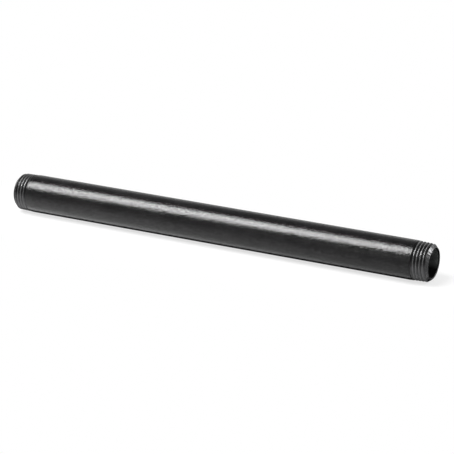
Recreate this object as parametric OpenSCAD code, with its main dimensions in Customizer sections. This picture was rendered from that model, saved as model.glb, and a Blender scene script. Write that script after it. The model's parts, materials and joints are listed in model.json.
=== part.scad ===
// Long pipe nipple: a length of black-coated steel pipe with a male taper
// thread and a chamfer cut on each end. It lies along X, centred on the origin.
// All sizes are in millimetres.

/* [Pipe] */
// Outside diameter of the bare steel pipe
pipe_od = 21.34; // [17:0.01:34]
// Wall thickness of the pipe
wall = 2.77; // [2.3:0.01:3.6]
// Overall length, from end face to end face
overall_length = 254; // [60:1:900]

/* [Thread] */
// Thread turns in each inch of length
threads_per_inch = 14; // [11:0.5:18]
// Turns cut to full depth, counted from the end face
full_turns = 5.2; // [4:0.1:9]
// Turns over which the die lifts out of the metal
fade_turns = 0.25; // [0.2:0.05:1.5]
// Length over which the thread's diameter grows by 1
taper = 16; // [14:1:24]
// Flat left on each crest, as a share of the pitch
crest_flat = 0.07; // [0.04:0.005:0.25]
// Flat at the bottom of each groove, as a share of the pitch
root_flat = 0.06; // [0.03:0.005:0.12]

/* [End finish] */
// Width of the flat ring left on each end face
face_ring = 0.4; // [0.3:0.05:1.2]
// Reamed chamfer at the mouth of the bore
ream = 0.25; // [0.1:0.05:0.5]
// Length of the shoulder between thread and barrel
shoulder = 0.1; // [0.1:0.05:1]

/* [Coat] */
// Thickness of the black film on the barrel
coat_thickness = 0.07; // [0.04:0.01:0.2]
// Bare steel between the last groove's side and the film
coat_setback = 0.1; // [0.1:0.1:2]

/* [Hidden] */

mm_per_inch = 25.4;
// Half of the angle between the two sides of a groove
flank_angle = 30;
// Taper pipe threads set the pitch line's diameter at the end face to the pipe's
// diameter, less this many pitches and this share more for each inch of diameter
pitch_drop = 1.1;
pitch_drop_per_inch = 0.05;

// Sides of each turned surface in a preview
round_steps = 96;
// Straight lines that the thread's helix has in each turn
turn_steps = 48;
// Turns of the cutter that lie clear of the pipe, before it meets the end face
lead_in_turns = 1.1;
// Room between neighbouring turns of the cutter, as a share of the pitch
cutter_gap = 0.03;
// How far the cutter stands clear of the metal
cutter_clear = 0.8;
// How far a cut runs past the face it goes through
overcut = 1;

pipe_r = pipe_od / 2;
bore_r = pipe_r - wall;
pitch = mm_per_inch / threads_per_inch;
// The radius grows by this much for each millimetre along the thread
slope = 1 / (2 * taper);

pitch_line_r = (pipe_od - (pitch_drop + pitch_drop_per_inch * pipe_od / mm_per_inch) * pitch) / 2;
crest_r = pitch_line_r + pitch * (0.5 - crest_flat) / 2 / tan(flank_angle);
root_r = pitch_line_r - pitch * (0.5 - root_flat) / 2 / tan(flank_angle);
groove_depth = crest_r - root_r;

full_length = full_turns * pitch;
thread_length = (full_turns + fade_turns) * pitch;
face_r = bore_r + ream + face_ring;
// The end is chamfered at 45 degrees, from the face ring out to the crests
chamfer = (crest_r - face_r) / (1 - slope);
barrel_start = thread_length + shoulder;
// The film starts past the shoulder, and past the side of the last full groove
film_start = max(barrel_start, full_length + pitch / 2) + coat_setback;

// Crest radius, s from the end face. Crests never stand above the pipe itself.
function crest_radius(s) = min(pipe_r, crest_r + s * slope);

// Half of the pipe's outline, as [radius, distance in from the end face]
half_outline = [
    [bore_r, ream],
    [bore_r + ream, 0],
    [face_r, 0],
    [face_r + chamfer, chamfer],
    [crest_radius(thread_length), thread_length],
    [pipe_r, barrel_start],
];

function far_end(p) = [p[0], overall_length - p[1]];

// Radius of the groove's bottom, s from the end face. Past the full turns it
// climbs out of the metal as the die lifts.
function groove_bottom(s) =
    root_r + s * slope
    + max(0, s - full_length) / (thread_length - full_length) * (groove_depth + cutter_clear);

// Outline of the thread cutter, as [offset along the axis, height above the groove's bottom]
cutter_outline = let (
    bottom = root_flat * pitch / 2,
    side = (1 - cutter_gap) * pitch / 2,
    side_start = (side - bottom) / tan(flank_angle),
    top = groove_depth + cutter_clear
) [
    [-bottom, 0],
    [bottom, 0],
    [side, side_start],
    [side, top],
    [-side, top],
    [-side, side_start],
];

// A right-hand thread cutter that starts clear of the end face at z = 0
module thread_cutter() {
    corners = len(cutter_outline);
    first = -ceil(lead_in_turns * turn_steps);
    last = ceil((full_turns + fade_turns) * turn_steps);
    points = [
        for (i = [first : last])
            let (angle = 360 * i / turn_steps, s = pitch * i / turn_steps)
                for (c = cutter_outline)
                    let (r = groove_bottom(s) + c[1])
                        [r * cos(angle), r * sin(angle), s + c[0]]
    ];
    rings = last - first;
    sides = [
        for (i = [0 : rings - 1], k = [0 : corners - 1])
            let (a = i * corners + k, b = i * corners + (k + 1) % corners)
                [a, a + corners, b + corners, b]
    ];
    start_cap = [for (k = [0 : corners - 1]) k];
    end_cap = [for (k = [corners - 1 : -1 : 0]) rings * corners + k];
    polyhedron(points, concat(sides, [start_cap, end_cap]));
}

module lay_along_x() {
    rotate([0, 90, 0]) translate([0, 0, -overall_length / 2]) children();
}

// Places a child made at the near end on both ends, turned end for end, so that
// both threads stay right-handed
module at_both_ends() {
    children();
    translate([0, 0, overall_length]) rotate([180, 0, 0]) children();
}

// The steel pipe, with its threads, chamfers and reamed bore
module pipe() {
    far_outline = [for (i = [len(half_outline) - 1 : -1 : 0]) far_end(half_outline[i])];
    color([0.16, 0.16, 0.165]) lay_along_x() difference() {
        rotate_extrude($fn = round_steps) polygon(concat(half_outline, far_outline));
        at_both_ends() thread_cutter();
    }
}

// The black film on the barrel, between the two threads
module black_coat() {
    film_length = overall_length - 2 * film_start;
    color([0.05, 0.05, 0.052]) lay_along_x() translate([0, 0, film_start]) difference() {
        cylinder(r = pipe_r + coat_thickness, h = film_length, $fn = round_steps);
        translate([0, 0, -overcut])
            cylinder(r = pipe_r, h = film_length + 2 * overcut, $fn = round_steps);
    }
}

pipe();
black_coat();
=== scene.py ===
import json
from math import atan2, cos, pi, radians, sin, tan

import bmesh
import bpy
from mathutils import Matrix, Vector, noise


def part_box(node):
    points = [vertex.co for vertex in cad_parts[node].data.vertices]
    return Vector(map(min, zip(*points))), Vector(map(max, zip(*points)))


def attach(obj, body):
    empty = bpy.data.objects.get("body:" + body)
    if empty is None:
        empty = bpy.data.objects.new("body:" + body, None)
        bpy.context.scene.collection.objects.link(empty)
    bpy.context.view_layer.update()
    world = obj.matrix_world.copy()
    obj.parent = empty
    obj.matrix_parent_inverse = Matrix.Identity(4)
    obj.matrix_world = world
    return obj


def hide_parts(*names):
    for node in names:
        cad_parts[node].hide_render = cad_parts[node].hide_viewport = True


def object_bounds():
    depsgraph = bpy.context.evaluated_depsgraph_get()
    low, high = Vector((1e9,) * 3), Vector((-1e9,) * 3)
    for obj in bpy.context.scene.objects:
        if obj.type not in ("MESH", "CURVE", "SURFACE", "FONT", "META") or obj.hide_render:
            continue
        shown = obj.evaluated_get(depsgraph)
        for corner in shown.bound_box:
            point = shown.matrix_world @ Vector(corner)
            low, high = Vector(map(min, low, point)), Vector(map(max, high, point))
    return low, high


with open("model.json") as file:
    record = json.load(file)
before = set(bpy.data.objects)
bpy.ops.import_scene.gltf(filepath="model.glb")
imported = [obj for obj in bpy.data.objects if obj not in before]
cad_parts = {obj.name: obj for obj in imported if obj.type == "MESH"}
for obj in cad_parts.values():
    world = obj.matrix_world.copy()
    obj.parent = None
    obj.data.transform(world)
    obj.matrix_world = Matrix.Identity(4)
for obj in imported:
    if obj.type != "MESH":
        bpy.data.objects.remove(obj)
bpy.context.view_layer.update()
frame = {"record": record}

# ---------------------------------------------------------------------------
# The pipe: one length of welded steel tube. A die cuts a taper thread on each
# end, the ends are faced and chamfered on a lathe, and the mouths are reamed.
# The cut metal is dark with cutting oil, and the bore keeps its mill scale.
# Painted shade blackens the end faces, the mouths, the lower bore and the
# bore deeper in. Painted light lifts the grooves and dulls the crests below
# the axis.
# ---------------------------------------------------------------------------
MM = 0.001

mounts = {mount["name"]: mount for mount in frame["record"]["mounts"]}
film = 0.07 * MM
bore_r = mounts["bore"]["dims"]["r_mm"] * MM
pipe_r = mounts["barrel"]["dims"]["r_mm"] * MM - film
half_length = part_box("pipe")[1].x

pitch = 25.4 * MM / 14
full_turns = 5.2
fade_turns = 0.25
lift_clear = 0.8 * MM
slope = 1 / 32
flank = tan(radians(30))
pitch_line_r = pipe_r - (1.1 + 0.05 * 2 * pipe_r / (25.4 * MM)) * pitch / 2
root_flat = 0.06 * pitch
crest_flat = 0.07 * pitch
crest_r = pitch_line_r + (pitch / 2 - crest_flat) / 2 / flank
root_r = pitch_line_r - (pitch / 2 - root_flat) / 2 / flank

ream = 0.25 * MM
face_r = bore_r + ream + 0.4 * MM
thread_length = (full_turns + fade_turns) * pitch
barrel_start = thread_length + 0.1 * MM
ease_start = barrel_start - 1.2 * MM

columns = 192
merge = 1e-6
soft_edge = 0.05 * MM
nick = 0.03 * MM


def soft_min(a, b, reach):
    """The smaller of a and b, rounded where they are within reach of each other."""
    near = max(reach - abs(a - b), 0) / reach
    return min(a, b) - near * near * reach / 4


def groove_radius(along, angle):
    """Radius of the thread groove's wall, along from the end face, at an angle round the pipe."""
    turn = angle / (2 * pi)
    groove = round(along / pitch - turn)
    centre = (groove + turn) * pitch
    lift = max(0, centre - full_turns * pitch) / (fade_turns * pitch)
    bottom = root_r + centre * slope + lift * (crest_r - root_r + lift_clear)
    return bottom + max(0, abs(along - centre) - root_flat / 2) / flank


def end_radius(along, angle):
    """Radius of the cut end: crests, chamfer and shoulder, less the groove."""
    crest = crest_r + along * slope
    shoulder = max(0, along - ease_start) / (barrel_start - ease_start)
    crest += shoulder * (pipe_r - crest)
    if along < thread_length:
        spot = Vector((along, crest * cos(angle), crest * sin(angle))) / MM
        crest -= nick * max(0, noise.noise(spot * 0.9)) ** 2
    outside = soft_min(crest, face_r + along, soft_edge)
    return soft_min(outside, groove_radius(along, angle), soft_edge)


def rows_of_a_pitch():
    """Places along one pitch, as shares of it, closest at the groove's bottom and at the crest's edges."""
    crest_edge = 0.5 - crest_flat / pitch / 2
    half = [0.03, 0.06, 0.12, 0.18, 0.24, 0.3, 0.36, 0.41]
    half += [crest_edge + shift for shift in (-0.025, -0.01, 0.005, 0.02)]
    return [-place for place in reversed(half)] + [0] + half + [0.5]


def threaded_end():
    """One end of the pipe, from its end face at x = 0 to the barrel, wound like the thread itself."""
    mesh = bmesh.new()
    turns = range(-1, int(barrel_start / pitch) + 3)
    line = [mesh.verts.new(((turn + place) * pitch, 1, 0)) for turn in turns for place in rows_of_a_pitch()]
    edges = [mesh.edges.new(pair) for pair in zip(line, line[1:])]
    bmesh.ops.spin(mesh, geom=line + edges, cent=(0, 0, 0), axis=(1, 0, 0), angle=2 * pi,
                   steps=columns, dvec=(pitch / columns, 0, 0), use_merge=False)
    for vert in mesh.verts:
        vert.co.x = min(max(vert.co.x, 0), barrel_start)
    bmesh.ops.remove_doubles(mesh, verts=mesh.verts, dist=merge)
    for vert in mesh.verts:
        radius = end_radius(vert.co.x, atan2(vert.co.z, vert.co.y) % (2 * pi))
        vert.co.y *= radius
        vert.co.z *= radius
    return mesh


def rim(mesh, x):
    """The open edges of a mesh that lie at x."""
    return [edge for edge in mesh.edges
            if edge.is_boundary and all(abs(vert.co.x - x) < merge for vert in edge.verts)]


def run_on(mesh, edges, x, radius):
    """Runs a round rim on to x, with a new radius, and returns the new rim."""
    made = bmesh.ops.extrude_edge_only(mesh, edges=edges)["geom"]
    for vert in made:
        if isinstance(vert, bmesh.types.BMVert):
            size = radius / (vert.co.y ** 2 + vert.co.z ** 2) ** 0.5
            vert.co = Vector((x, vert.co.y * size, vert.co.z * size))
    return [edge for edge in made if isinstance(edge, bmesh.types.BMEdge)]


def finished(mesh, name, sharp):
    """Merges, closes and smooths a mesh, and returns its object."""
    bmesh.ops.remove_doubles(mesh, verts=mesh.verts, dist=merge)
    bmesh.ops.recalc_face_normals(mesh, faces=mesh.faces)
    data = bpy.data.meshes.new(name)
    mesh.to_mesh(data)
    mesh.free()
    data.shade_smooth()
    data.set_sharp_from_angle(angle=radians(sharp))
    piece = bpy.data.objects.new(name, data)
    bpy.context.scene.collection.objects.link(piece)
    return piece


steel = threaded_end()
edge = rim(steel, 0)
burr = 0.05 * MM
mouth = [(0, bore_r + ream + burr), (burr / 2, bore_r + ream), (ream, bore_r + burr / 2), (ream + burr, bore_r)]
for x, radius in mouth:
    edge = run_on(steel, edge, x, radius)
bmesh.ops.translate(steel, verts=steel.verts, vec=(-half_length, 0, 0))
other_end = bmesh.ops.duplicate(steel, geom=steel.verts[:] + steel.edges[:] + steel.faces[:])["geom"]
other_verts = [item for item in other_end if isinstance(item, bmesh.types.BMVert)]
bmesh.ops.rotate(steel, verts=other_verts, cent=(0, 0, 0), matrix=Matrix.Rotation(pi, 3, "Z"))
run_on(steel, rim(steel, barrel_start - half_length), half_length - barrel_start, pipe_r)
run_on(steel, rim(steel, ream + burr - half_length), half_length - ream - burr, bore_r)
pipe = finished(steel, "threaded_pipe", 35)
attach(pipe, "root")
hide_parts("pipe")


class Wire:
    """An output socket of a shader. Arithmetic on it adds Math nodes to its tree."""

    def __init__(self, tree, socket=None):
        self.tree = tree
        self.socket = socket

    def node(self, kind, inputs, output=0, stops=(), **settings):
        """Adds a node: its settings and a ramp's stops first, then the values or wires of its sockets."""
        made = self.tree.nodes.new("ShaderNode" + kind)
        for name, value in settings.items():
            setattr(made, name, value)
        for number, (place, grey) in enumerate(stops):
            stop = made.color_ramp.elements[number] if number < 2 else made.color_ramp.elements.new(place)
            stop.position = place
            stop.color = (grey, grey, grey, 1)
        for name, value in inputs.items():
            if isinstance(value, Wire):
                self.tree.links.new(value.socket, made.inputs[name])
            else:
                made.inputs[name].default_value = value
        return Wire(self.tree, made.outputs[output] if made.outputs else None)

    def math(self, operation, *values):
        return self.node("Math", dict(enumerate(values)), operation=operation)

    def __add__(self, other):
        return self.math("ADD", self, other)

    def __sub__(self, other):
        return self.math("SUBTRACT", self, other)

    def __rsub__(self, other):
        return self.math("SUBTRACT", other, self)

    def __mul__(self, other):
        return self.math("MULTIPLY", self, other)

    def __truediv__(self, other):
        return self.math("DIVIDE", self, other)

    __radd__ = __add__
    __rmul__ = __mul__

    def rise(self, start, end):
        """0 below start and 1 above end, with a smooth change between them."""
        ends = {"Value": self, "From Min": start, "From Max": end}
        return self.node("MapRange", ends, interpolation_type="SMOOTHSTEP")

    def blend(self, low, high):
        """A value that goes from low to high as this one goes from 0 to 1."""
        return self * (high - low) + low

    def tint(self, low, high):
        """A colour that goes from low to high as this value goes from 0 to 1."""
        mixed = {0: self, 6: low, 7: high}
        return self.node("Mix", mixed, output=2, data_type="RGBA")

    def noise(self, scale, detail=2.0):
        """Noise read at this place, with a scale in lumps a millimetre."""
        return self.node("TexNoise", {"Vector": self, "Scale": scale, "Detail": detail})

    def bump(self, normal=None):
        """Normals of a surface that stands this many millimetres proud."""
        inputs = {"Strength": 1.0, "Distance": MM, "Height": self}
        if normal:
            inputs["Normal"] = normal
        return self.node("Bump", inputs)


def new_material(name):
    """An empty material, and each point's place in millimetres."""
    material = bpy.data.materials.new(name)
    material.use_nodes = True
    material.node_tree.nodes.clear()
    place = Wire(material.node_tree).node("TexCoord", {}, output="Object")
    return material, place.node("VectorMath", {0: place, "Scale": 1 / MM}, operation="SCALE")


def split(place):
    """The three coordinates of a place."""
    return [place.node("SeparateXYZ", {"Vector": place}, output=axis) for axis in "XYZ"]


oiled_steel, place = new_material("oiled_steel")
x, y, z = split(place)
from_face = half_length / MM - x.math("ABSOLUTE", x)
radius = (y * y + z * z).math("SQRT", y * y + z * z)
radial = place.node("CombineXYZ", {"X": from_face * 0.12, "Y": y / radius * 8, "Z": z / radius * 8})

above_root = radius - from_face * slope - root_r / MM
past_thread = from_face.rise(8.7, 9.0) * above_root.rise(0.8, 1.15)
# Painted light and shade: below the axis the grooves are painted lighter and the crests' shine is painted weaker,
# as if lit from the table. Above it the grooves stay oil black and the crests keep their full shine.
painted_light_upper_half = z.rise(-2.0, 4.0)
crest = above_root.rise(1.05, 1.3) * (1 - past_thread) * painted_light_upper_half.blend(0.25, 1.0)
chamfer = (radius - from_face - face_r / MM).rise(-0.16, -0.06)
bore = 1 - radius.rise(bore_r / MM + 0.03, bore_r / MM + 0.12)
# Painted shade: the end face ring, the first millimetre of the mouth and the bore below the axis are painted black.
face = (1 - from_face.rise(0.01, 0.05)) * (1 - chamfer)
mouth_painted_shade = bore * (1 - from_face.rise(0.5, 1.0))
bore_painted_shadow = bore * (1 - z.rise(-6.0, -2.5))
mottle = place.noise(0.35, 3.0)
grime = place.noise(1.6, 4.0)

cut = crest.math("MAXIMUM", crest, chamfer)
cut_grey = (0.20, 0.20, 0.204, 1)
crest_grey = (0.34, 0.34, 0.345, 1)
oil_black = (0.016, 0.016, 0.0162, 1)
oil_lifted_by_painted_light = (0.110, 0.110, 0.112, 1)
lacquer = (0.009, 0.009, 0.0092, 1)
painted_shade_black = (0.006, 0.006, 0.006, 1)
scale_low = (0.036, 0.041, 0.039, 1)
scale_high = (0.075, 0.085, 0.081, 1)
# Painted light: the oil colour is lightened towards the bottom of the thread.
oil_and_painted_light = painted_light_upper_half.tint(oil_lifted_by_painted_light, oil_black)
steel_colour = crest.tint(oil_and_painted_light, crest_grey)
steel_colour = chamfer.tint(steel_colour, cut_grey)
steel_colour = past_thread.tint(steel_colour, lacquer)
scale_colour = mottle.rise(0.35, 0.7).tint(scale_low, scale_high)
# Painted shade: the bore's scale turns black with depth from the face.
scale_colour = from_face.rise(1.0, 9.0).tint(scale_colour, painted_shade_black)
colour = bore.tint(steel_colour, scale_colour)
# Painted shade: these places take a black colour and near-full metal, so they reflect almost nothing.
painted_shade_mask = face.math("MAXIMUM", face.math("MAXIMUM", face, mouth_painted_shade), bore_painted_shadow)
colour = painted_shade_mask.tint(colour, painted_shade_black)
rough = cut.blend(0.34, 0.24) + bore.blend(0, 0.32) + face.blend(0, 0.2) + grime.blend(-0.05, 0.05)
rough = rough - past_thread * 0.12
metal = cut.blend(0.1, 0.85) * (1 - bore) * (1 - painted_shade_mask) + painted_shade_mask * 0.9

chatter = radial.noise(1.0, 2.0) * 0.32
turned = from_face.node("TexNoise", {"W": from_face, "Scale": 7.0, "Detail": 2.0}, noise_dimensions="1D") * 0.010
pitted = place.noise(1.8, 3.0) * 0.06
height = chamfer * (chatter + turned) + bore * pitted + (1 - bore) * place.noise(1.4, 2.0) * 0.012
oiled_steel_look = place.node("BsdfPrincipled", {"Base Color": colour, "Roughness": rough, "Metallic": metal,
                                                 "IOR": 1.6, "Normal": height.bump()})
place.node("OutputMaterial", {"Surface": oiled_steel_look})
pipe.data.materials.append(oiled_steel)

# ---------------------------------------------------------------------------
# The black coat: lacquer that the pipe mill sprays on the outside, as a film
# 0.07 mm thick. It dries to a satin face with a fine grain. The die has cut
# it away at both ends, so its edge is feathered there.
# ---------------------------------------------------------------------------
film_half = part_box("black_coat")[1].x
film_r = pipe_r + film
feather = 1.2 * MM
rows = 150

coat = bmesh.new()
step = 2 * (film_half - feather) / rows
tops = [(feather - film_half + step * row, film_r) for row in range(rows + 1)]
outline = [(-film_half, pipe_r)] + tops + [(film_half, pipe_r)]
line = [coat.verts.new((x, r, 0)) for x, r in outline]
edges = [coat.edges.new(pair) for pair in zip(line, line[1:] + line[:1])]
bmesh.ops.spin(coat, geom=line + edges, cent=(0, 0, 0), axis=(1, 0, 0), angle=2 * pi, steps=columns,
               use_merge=True)
black_coat = finished(coat, "lacquer_film", 60)
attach(black_coat, "root")
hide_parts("black_coat")

black_lacquer, place = new_material("black_lacquer")
mottle = place.noise(0.12, 3.0)
grain = place.noise(1.7, 1.0)
peel = place.noise(0.9, 1.0)
thin = (0.0085, 0.0085, 0.0087, 1)
thick = (0.0135, 0.0135, 0.0137, 1)
colour = mottle.rise(0.3, 0.7).tint(thin, thick)
rough = mottle.rise(0.3, 0.7).blend(0.13, 0.17)
height = grain * 0.12 + peel * 0.11
speckle = place.noise(1.9, 0.0)
metal = speckle.rise(0.4, 0.62) * 0.5
lacquer_look = place.node("BsdfPrincipled", {"Base Color": colour, "Roughness": rough, "Metallic": metal,
                                             "IOR": 1.65, "Normal": height.bump()})
place.node("OutputMaterial", {"Surface": lacquer_look})
black_coat.data.materials.append(black_lacquer)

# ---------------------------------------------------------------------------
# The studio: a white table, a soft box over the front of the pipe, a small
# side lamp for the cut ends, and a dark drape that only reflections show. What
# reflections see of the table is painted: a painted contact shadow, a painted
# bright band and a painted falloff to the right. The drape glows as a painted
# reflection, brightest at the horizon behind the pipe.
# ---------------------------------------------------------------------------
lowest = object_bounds()[0].z
white = (1, 1, 1, 1)


def is_ray(tree, *kinds):
    """1 where a ray is of one of these kinds, else 0."""
    total = tree.node("LightPath", {}, output=f"Is {kinds[0]} Ray")
    for kind in kinds[1:]:
        total = total.math("MAXIMUM", total, tree.node("LightPath", {}, output=f"Is {kind} Ray"))
    return total


table_mesh = bmesh.new()
bmesh.ops.create_circle(table_mesh, cap_ends=True, radius=6, segments=96)
bmesh.ops.translate(table_mesh, verts=table_mesh.verts, vec=(0, 0, lowest))
table_top = finished(table_mesh, "table_top", 60)

white_table, place = new_material("white_table")
x, y, z = split(place)
lit = place.node("BsdfDiffuse", {"Color": (0.86, 0.86, 0.86, 1)})
plain = place.node("Emission", {"Color": white, "Strength": 1.0})
past_end = (x.math("ABSOLUTE", x) - half_length / MM).math("MAXIMUM", x.math("ABSOLUTE", x) - half_length / MM, 0.0)
away = (past_end * past_end + y * y).math("SQRT", past_end * past_end + y * y)
seen = place.node("MixShader", {0: away.rise(4.0, 45.0).blend(0.7, 1.0), 1: lit, 2: plain})

# Painted reflection: glossy rays see a glow instead of the lit table. It has a dark painted contact shadow along
# the pipe, a bright painted band just in front of it, dimmer glow far away, and a painted falloff past the right
# end.
reach = 200.0
front_to_back = (y + reach) / (2 * reach)
across = [(-200, 0.17), (-60, 0.26), (-25, 0.47), (-14, 0.57), (-9.5, 0.60), (-7.8, 1.0), (-6.3, 0.0), (40, 0.03), (150, 0.17)]
painted_table_reflection = place.node("ValToRGB", {0: front_to_back}, stops=[((d + reach) / (2 * reach), g) for d, g in across])
along = [(-200, 1.208), (120, 0.44), (136, 0.13), (200, 0.10)]
painted_falloff_to_right = place.node("ValToRGB", {0: (x + reach) / (2 * reach)}, stops=[((d + reach) / (2 * reach), g) for d, g in along])
glow_colour = place.node("Mix", {0: 1.0, 6: painted_table_reflection, 7: painted_falloff_to_right}, output=2, data_type="RGBA",
                         blend_type="MULTIPLY")
glow = place.node("Emission", {"Color": glow_colour, "Strength": 1.95})
mirrored = is_ray(place, "Glossy", "Transmission")
look = place.node("MixShader", {0: is_ray(place, "Camera"), 1: lit, 2: seen})
place.node("OutputMaterial", {"Surface": place.node("MixShader", {0: mirrored, 1: look, 2: glow})})
table_top.data.materials.append(white_table)

world = bpy.data.worlds.new("studio")
world.use_nodes = True
world.node_tree.nodes.clear()
air = Wire(world.node_tree)
bright = air.node("Background", {"Color": white, "Strength": 1.0})
dim = air.node("Background", {"Color": white, "Strength": 0.5})
shown = is_ray(air, "Camera", "Glossy", "Transmission")
air.node("OutputWorld", {"Surface": air.node("MixShader", {0: shown, 1: dim, 2: bright})})
bpy.context.scene.world = world

drape_mesh = bmesh.new()
bmesh.ops.create_uvsphere(drape_mesh, u_segments=48, v_segments=24, radius=4)
drape = finished(drape_mesh, "drape", 60)
painted_reflection_drape, place = new_material("painted_reflection_drape")
x, y, z = split(place)
# Painted reflection: the drape glows, brightest at the horizon behind the pipe and dim overhead and in front.
height_share = z / 4000
behind = [(0.0, 0.9), (0.2, 0.55), (0.39, 0.33), (0.68, 0.12), (0.85, 0.05)]
before = [(0.0, 0.22), (0.3, 0.12), (1.0, 0.05)]
behind_glow = place.node("ValToRGB", {0: height_share}, stops=behind)
before_glow = place.node("ValToRGB", {0: height_share}, stops=before)
painted_reflection_colour = place.node("Mix", {0: y.rise(-400.0, 1200.0), 6: before_glow, 7: behind_glow}, output=2,
                          data_type="RGBA")
place.node("OutputMaterial", {"Surface": place.node("Emission", {"Color": painted_reflection_colour, "Strength": 1.0})})
drape.data.materials.append(painted_reflection_drape)
drape.visible_camera = False
drape.visible_diffuse = False
drape.visible_shadow = False
drape.visible_transmission = False


def lamp(name, direction, distance, size_along, size_across, radiance):
    """A rectangular lamp that faces the pipe, with its radiance as seen from the pipe."""
    light = bpy.data.lights.new(name, "AREA")
    light.shape = "RECTANGLE"
    light.size = size_along
    light.size_y = size_across
    light.energy = radiance * pi * size_along * size_across
    toward = Vector(direction).normalized()
    across = toward.cross((1, 0, 0)).normalized()
    along = across.cross(toward)
    holder = bpy.data.objects.new(name, light)
    turned = Matrix((along, across, toward)).transposed().to_4x4()
    holder.matrix_world = Matrix.Translation(toward * distance) @ turned
    holder.visible_camera = False
    bpy.context.scene.collection.objects.link(holder)
    return holder


softbox = lamp("softbox", (-0.414, -0.329, 0.849), 1.2, 0.80, 0.67, 11.9)
softbox.data.diffuse_factor = 0.6
lamp("side_lamp", (0.73, 0.27, 0.63), 0.9, 0.10, 0.20, 10.0)
lamp("side_strip", (0.76, 0.20, 0.60), 0.95, 0.18, 0.85, 4.0)
lamp("end_card", (-0.09, -0.92, 0.38), 0.45, 0.16, 0.14, 0.5)

camera_data = bpy.data.cameras.new("camera")
camera_data.lens = 174.4
camera_data.sensor_width = 36
camera_data.clip_start = 0.01
camera = bpy.data.objects.new("camera", camera_data)
azimuth, elevation, distance = radians(26.469), radians(20.726), 1.2121
aim = Vector((0.00420, 0.00176, -0.00078))
backward = Vector((sin(azimuth) * cos(elevation), -cos(azimuth) * cos(elevation), sin(elevation)))
camera.location = aim + backward * distance
camera.rotation_mode = "QUATERNION"
camera.rotation_quaternion = backward.to_track_quat("Z", "Y")
bpy.context.scene.collection.objects.link(camera)
bpy.context.scene.camera = camera
bpy.context.scene.view_settings.view_transform = "Standard"
